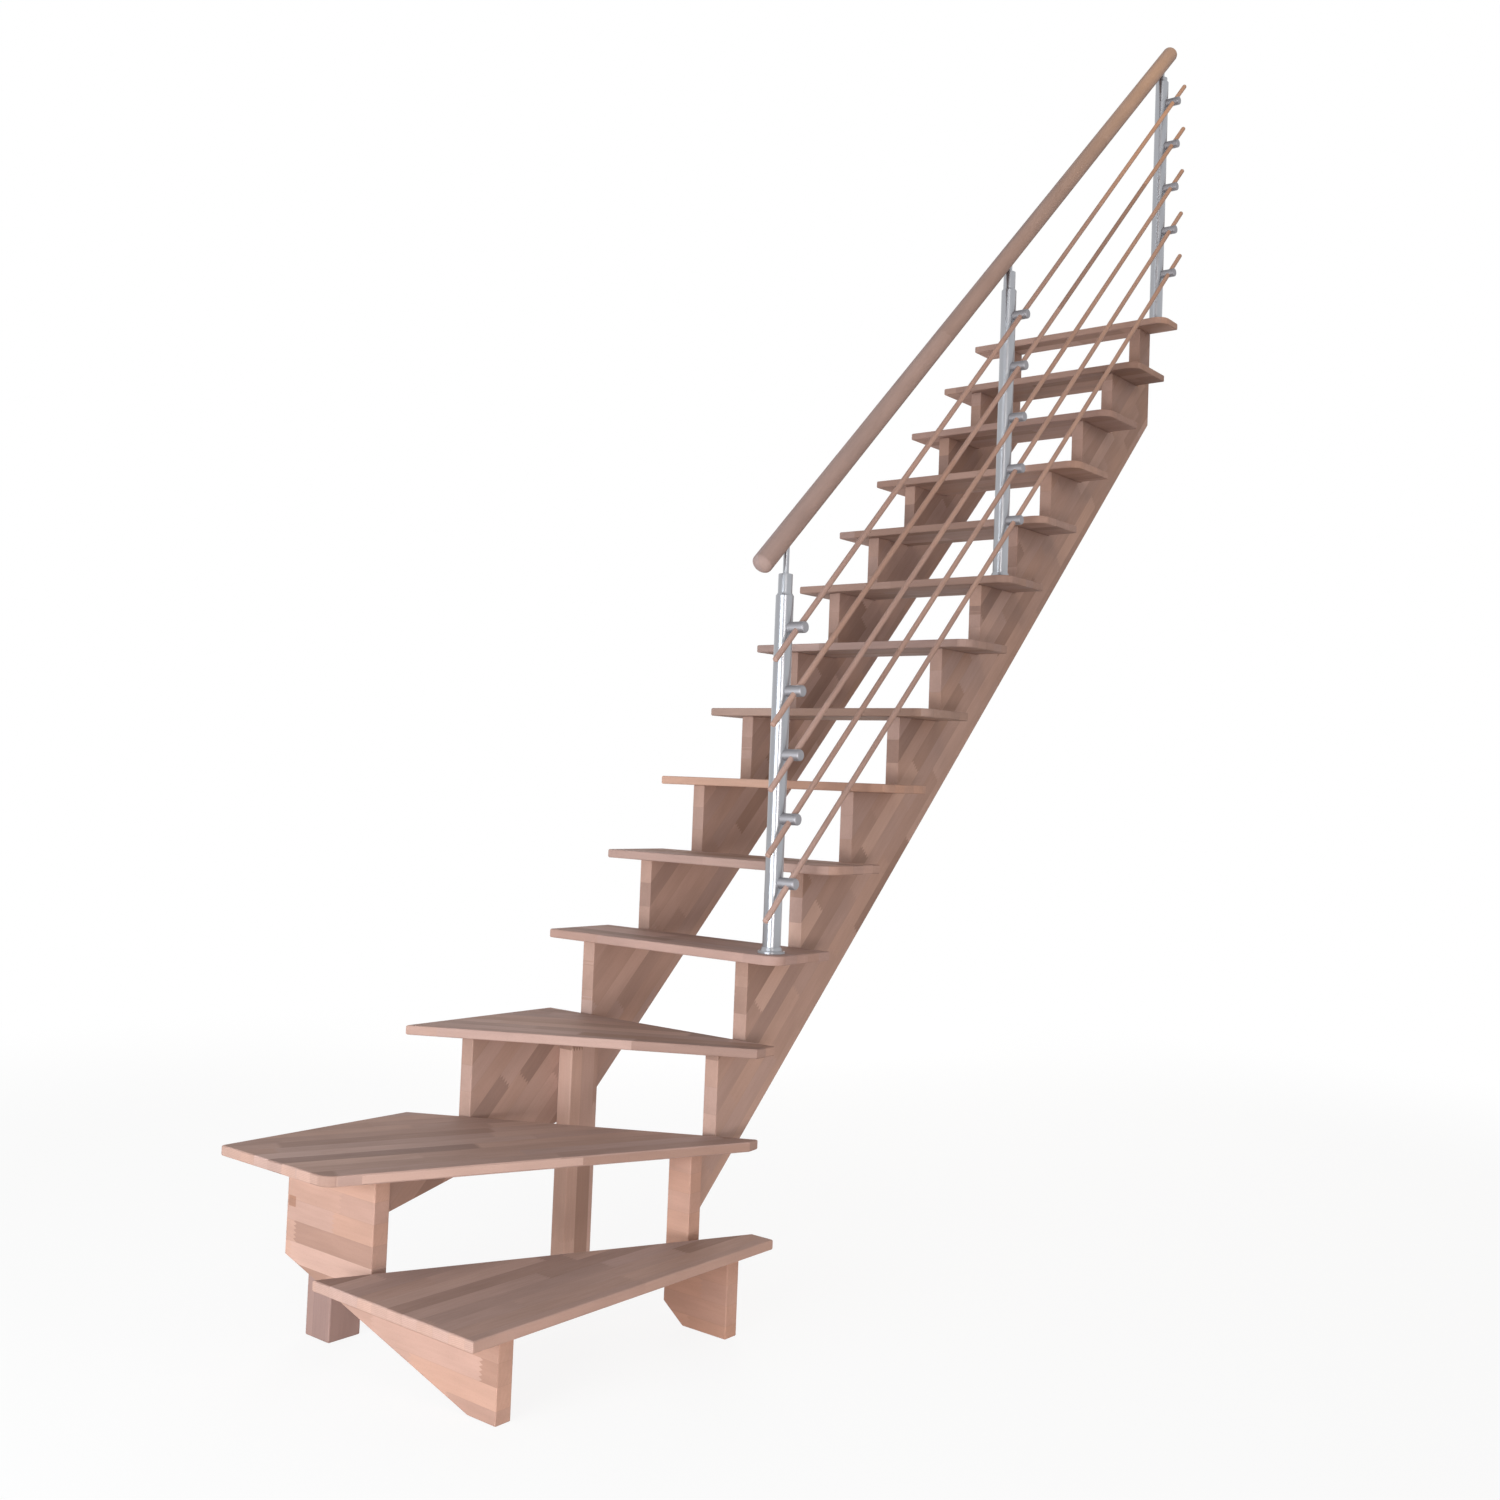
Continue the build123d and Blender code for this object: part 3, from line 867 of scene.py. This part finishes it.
AMBIENT_SIDES = 0.84
AMBIENT_ABOVE = 0.30
AMBIENT_TURN = (0.0, 0.9)     # upward share of a direction, level to overhead
FLOOR_HALF = 30.0
FLOOR_GAP = 0.0005            # floor to the stairs' feet
FLOOR_NEAR = 0.88             # how much of the floor's white is its own, near the stairs
FLOOR_CENTRE = (0.25, 1.34, 0)    # middle of the stairs' plan
FLOOR_FADE = (2.2, 4.3)       # distances from there between which the floor turns white
FLOOR_PAINT = (0.9, 0.9, 0.9, 1)
BOUNCE_NEAR = (0.85, 0.74, 0.64, 1)    # light that the floor throws back, near the turn and away
BOUNCE_FAR = (0.42, 0.34, 0.28, 1)
BOUNCE_FADE = (1.2, 2.6)
WHITE = (1, 1, 1, 1)


def white_surround():
    """White behind the stairs; as light it is stronger from the sides than from above."""
    world = bpy.data.worlds.new("white_surround")
    scene.world = world
    world.use_nodes = True
    tree = world.node_tree
    tree.nodes.clear()
    parts = tree.nodes.new("ShaderNodeSeparateXYZ")
    feed(tree, parts.inputs[0], tree.nodes.new("ShaderNodeTexCoord").outputs["Generated"])
    ambient = tree.nodes.new("ShaderNodeBackground")
    level = ramped(tree, parts.outputs["Z"], *AMBIENT_TURN, AMBIENT_SIDES, AMBIENT_ABOVE)
    feed(tree, ambient.inputs["Color"], WHITE)
    feed(tree, ambient.inputs["Strength"], level)
    white = tree.nodes.new("ShaderNodeBackground")
    feed(tree, white.inputs["Color"], WHITE)
    out = tree.nodes.new("ShaderNodeOutputWorld")
    mixed = mixed_shaders(tree, seen_directly(tree), ambient.outputs[0], white.outputs[0])
    feed(tree, out.inputs["Surface"], mixed)


def pale_floor():
    """A floor that takes the shadow of the stairs and fades to white away from them."""
    shape = bmesh.new()
    bmesh.ops.create_grid(shape, x_segments=1, y_segments=1, size=FLOOR_HALF)
    floor = new_piece("floor", shape)
    floor.location.z = cad_box[0][2] - FLOOR_GAP
    finish = bpy.data.materials.new("pale_floor")
    finish.use_nodes = True
    tree = finish.node_tree
    tree.nodes.clear()
    seen = seen_directly(tree)
    paint = tree.nodes.new("ShaderNodeBsdfDiffuse")
    place = tree.nodes.new("ShaderNodeTexCoord").outputs["Object"]
    away = vector_calc(tree, "LENGTH", place)
    bounce = blended(tree, ramped(tree, away, *BOUNCE_FADE), BOUNCE_NEAR, BOUNCE_FAR)
    feed(tree, paint.inputs["Color"], blended(tree, seen, bounce, FLOOR_PAINT))
    glow = tree.nodes.new("ShaderNodeEmission")
    feed(tree, glow.inputs["Color"], WHITE)
    from_centre = vector_calc(tree, "DISTANCE", place, FLOOR_CENTRE)
    share = product(tree, seen, ramped(tree, from_centre, *FLOOR_FADE, FLOOR_NEAR, 1.0))
    out = tree.nodes.new("ShaderNodeOutputMaterial")
    mixed = mixed_shaders(tree, share, paint.outputs[0], glow.outputs[0])
    feed(tree, out.inputs["Surface"], mixed)
    floor.data.materials.append(finish)


def soft_light(name, place, target, size, power, colour, glints=True):
    """An oblong lamp aimed at a point; without glints the steel doesn't mirror it."""
    lamp = bpy.data.lights.new(name, "AREA")
    lamp.shape = "RECTANGLE"
    lamp.size, lamp.size_y = size
    lamp.energy = power
    lamp.color = colour
    holder = bpy.data.objects.new(name, lamp)
    scene.collection.objects.link(holder)
    holder.location = place
    holder.visible_camera = False
    holder.visible_glossy = glints
    aim = Vector(target) - Vector(place)
    holder.rotation_euler = aim.to_track_quat("-Z", "Y").to_euler()


white_surround()
pale_floor()
soft_light(
    "front_light", place=(0.7, -3.2, 0.9), target=(0.2, 0.3, 0.8),
    size=(2.4, 1.4), power=122, colour=(0.89, 0.96, 1.0),
)
soft_light(
    "side_light", place=(3.3, -2.0, 0.35), target=(0.3, 0.5, 0.6),
    size=(1.2, 0.9), power=76, colour=(1.0, 0.94, 0.89),
)
soft_light(
    "back_light", place=(-2.8, 4.4, 1.6), target=(0.2, 1.5, 1.4),
    size=(2.4, 2.0), power=100, colour=(1.0, 0.98, 0.96), glints=False,
)
soft_light(
    "flight_light", place=(1.9, 0.9, 3.0), target=(0.3, 2.3, 2.3),
    size=(0.7, 0.7), power=8, colour=(1.0, 0.74, 0.50), glints=False,
)
soft_light(
    "upper_light", place=(1.25, 2.2, 4.1), target=(0.5, 2.85, 3.7),
    size=(0.3, 0.3), power=6.5, colour=(1.0, 0.70, 0.26), glints=False,
)


# Camera: where the photograph was taken from

CAMERA_PLACE = (2.6766, -2.0454, 1.1881)
CAMERA_TURN = (92.518, -2.260, 38.531)    # tilt, roll and heading, in degrees
SENSOR = 36.0                 # in millimetres, as the lens
LENS = 36.75
SHIFT = (0.0033, -0.0227)


def photo_camera():
    view = bpy.data.cameras.new("photo_camera")
    view.sensor_width = SENSOR
    view.lens = LENS
    view.shift_x, view.shift_y = SHIFT
    camera = bpy.data.objects.new("photo_camera", view)
    scene.collection.objects.link(camera)
    turn = Euler([radians(angle) for angle in CAMERA_TURN])
    camera.matrix_world = Matrix.LocRotScale(Vector(CAMERA_PLACE), turn, None)
    scene.camera = camera


photo_camera()
scene.view_settings.view_transform = "Standard"
